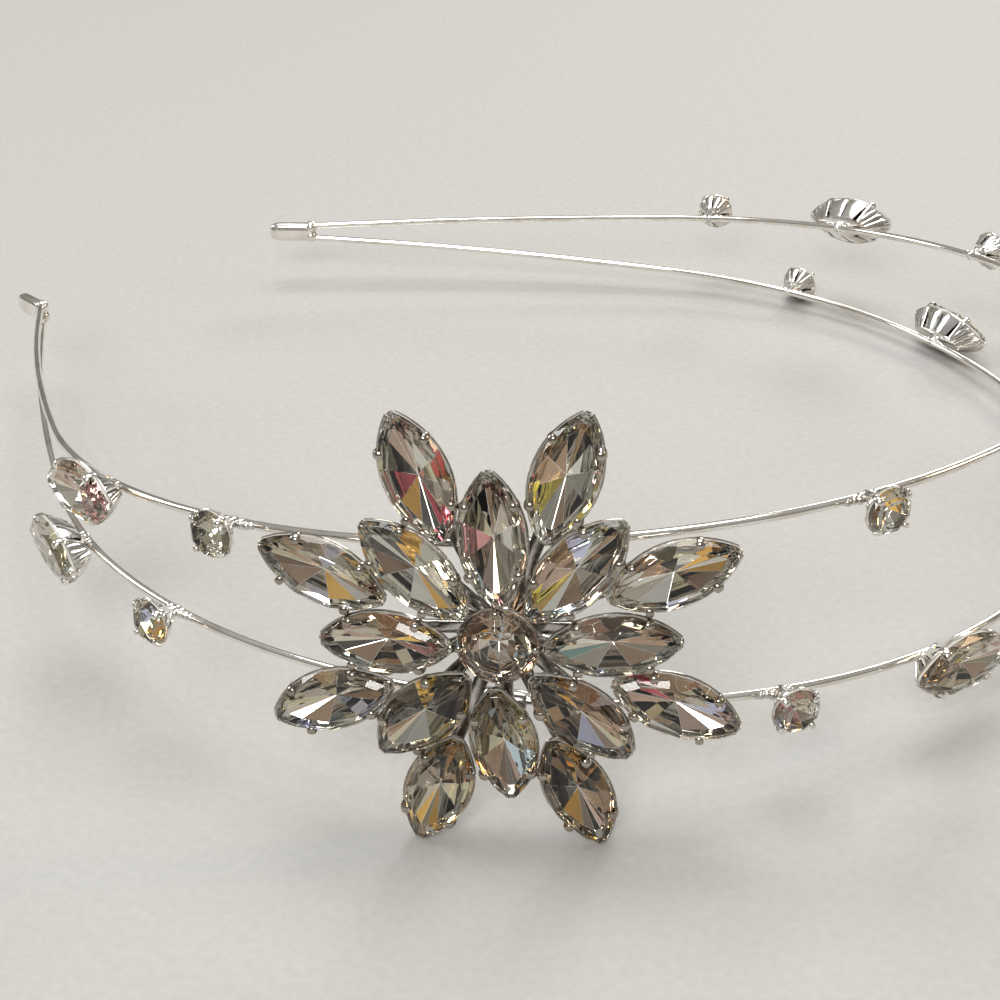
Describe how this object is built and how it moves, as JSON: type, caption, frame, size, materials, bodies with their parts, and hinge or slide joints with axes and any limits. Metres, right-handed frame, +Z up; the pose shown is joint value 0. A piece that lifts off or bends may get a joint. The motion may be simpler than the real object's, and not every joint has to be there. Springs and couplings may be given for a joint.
{
  "type": "headband",
  "caption": "Open headband of two silver wires, with a flower of clear cut stones on one side and single claw-set stones along both wires.",
  "frame": {"origin": "middle of the underside of the part's box, on the surface that the band lies on", "axes": "+Z up from the surface; +X to the top of the band, with its two ends at -X; the flower is on the -Y side and faces outwards"},
  "size_m": [0.1626, 0.1472, 0.0496],
  "materials": {
    "silver": "bright polished plating",
    "crystal": "clear cut glass with a foiled back"
  },
  "bodies": {
    "root": {"upper_wire": "silver", "lower_wire": "silver", "left_end_sleeve": "silver", "right_end_sleeve": "silver", "flower_mount": "silver", "center_stone": "crystal", "inner_petal_1": "crystal", "inner_petal_2": "crystal", "inner_petal_3": "crystal", "inner_petal_4": "crystal", "inner_petal_5": "crystal", "inner_petal_6": "crystal", "inner_petal_7": "crystal", "inner_petal_8": "crystal", "outer_petal_1": "crystal", "outer_petal_2": "crystal", "outer_petal_3": "crystal", "outer_petal_4": "crystal", "outer_petal_5": "crystal", "outer_petal_6": "crystal", "outer_petal_7": "crystal", "outer_petal_8": "crystal", "upper_stone_1": "crystal", "upper_stone_2": "crystal", "upper_stone_3": "crystal", "upper_stone_4": "crystal", "upper_stone_5": "crystal", "upper_stone_6": "crystal", "upper_stone_7": "crystal", "upper_stone_8": "crystal", "upper_stone_9": "crystal", "lower_stone_1": "crystal", "lower_stone_2": "crystal", "lower_stone_3": "crystal", "lower_stone_4": "crystal", "lower_stone_5": "crystal", "lower_stone_6": "crystal", "lower_stone_7": "crystal", "lower_stone_8": "crystal", "lower_stone_9": "crystal"}
  },
  "joints": []
}
